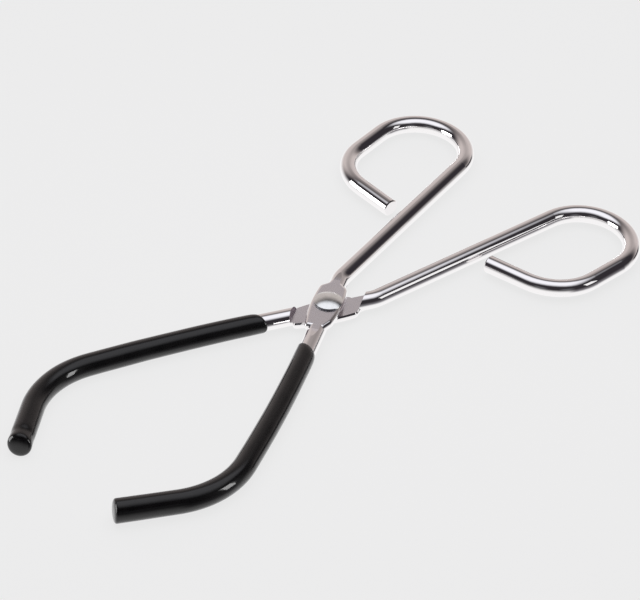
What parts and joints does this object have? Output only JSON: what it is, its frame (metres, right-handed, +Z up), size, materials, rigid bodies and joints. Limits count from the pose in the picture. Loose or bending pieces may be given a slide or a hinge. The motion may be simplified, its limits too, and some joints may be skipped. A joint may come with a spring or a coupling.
{
  "type": "laboratory tongs",
  "caption": "Scissor tongs for hot flasks and beakers: two bent plated rods riveted at a lap joint, with vinyl-dipped bowed jaws and open finger loops.",
  "frame": {"origin": "middle of the footprint of the tongs lying flat, on the surface they lie on", "axes": "+X along the tongs' axis towards the finger loops, +Y to the left of it, +Z up along the pivot"},
  "size_m": [0.2515, 0.1226, 0.0093],
  "materials": {
    "plated_steel": "bright nickel-chrome plate, satin on the forged flats",
    "rivet_steel": "bright plated, lightly brushed dome",
    "black_vinyl": "glossy dipped vinyl"
  },
  "bodies": {
    "lower": {"lower_arm": "plated_steel", "lower_jaw_coat": "black_vinyl", "pivot_rivet": "rivet_steel"},
    "upper": {"upper_arm": "plated_steel", "upper_jaw_coat": "black_vinyl"}
  },
  "joints": [
    {"name": "pivot", "type": "hinge", "parent": "lower", "child": "upper", "pos_m": [0.00823, 0, 0.00438], "axis": [0, 0, 1], "range_deg": [-16.8, 75]}
  ]
}
